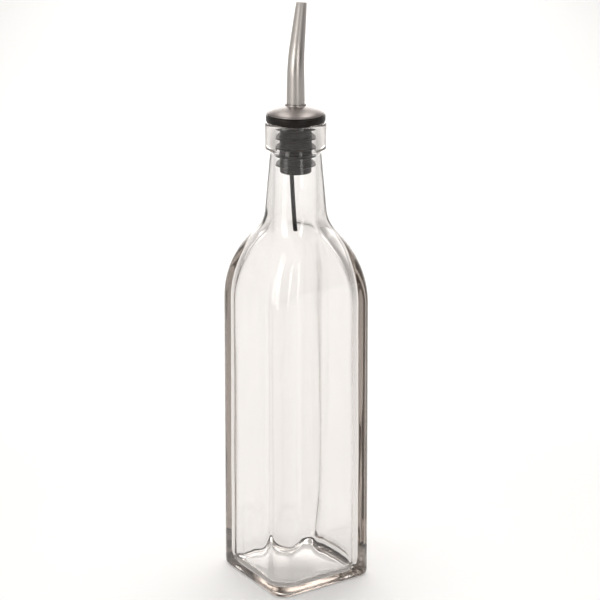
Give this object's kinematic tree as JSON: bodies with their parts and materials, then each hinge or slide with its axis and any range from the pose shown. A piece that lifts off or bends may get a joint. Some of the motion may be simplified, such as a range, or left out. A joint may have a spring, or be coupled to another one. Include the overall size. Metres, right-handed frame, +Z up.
{
  "type": "oil and vinegar bottle",
  "caption": "Square clear-glass oil and vinegar bottle with a round neck, closed by a finned black stopper that carries a domed steel collar, a bent tapered pouring spout and a vent tube.",
  "frame": {"origin": "middle of the base, on the surface that the bottle stands on", "axes": "+Z up along the neck; +X and +Y square to two flat sides of the body; the spout pours towards the corner between +X and +Y"},
  "size_m": [0.0604, 0.0604, 0.3086],
  "materials": {
    "clear_glass": "clear, fire polished",
    "black_rubber": "semi-gloss moulded",
    "satin_steel": "satin",
    "polished_steel": "polished",
    "black_plastic": "semi-gloss"
  },
  "bodies": {
    "bottle": {"glass_bottle": "clear_glass"},
    "stopper": {"stopper_plug": "black_rubber"},
    "spout": {"pour_spout": "polished_steel", "collar_dome": "satin_steel", "vent_tube": "black_plastic"}
  },
  "joints": [
    {"name": "pourer_lift", "type": "slide", "parent": "bottle", "child": "stopper", "axis": [0, 0, 1], "range_m": [0, 0.085]},
    {"name": "spout_turn", "type": "hinge", "parent": "stopper", "child": "spout", "pos_m": [0, 0, 0.25], "axis": [0, 0, 1], "continuous": true}
  ]
}
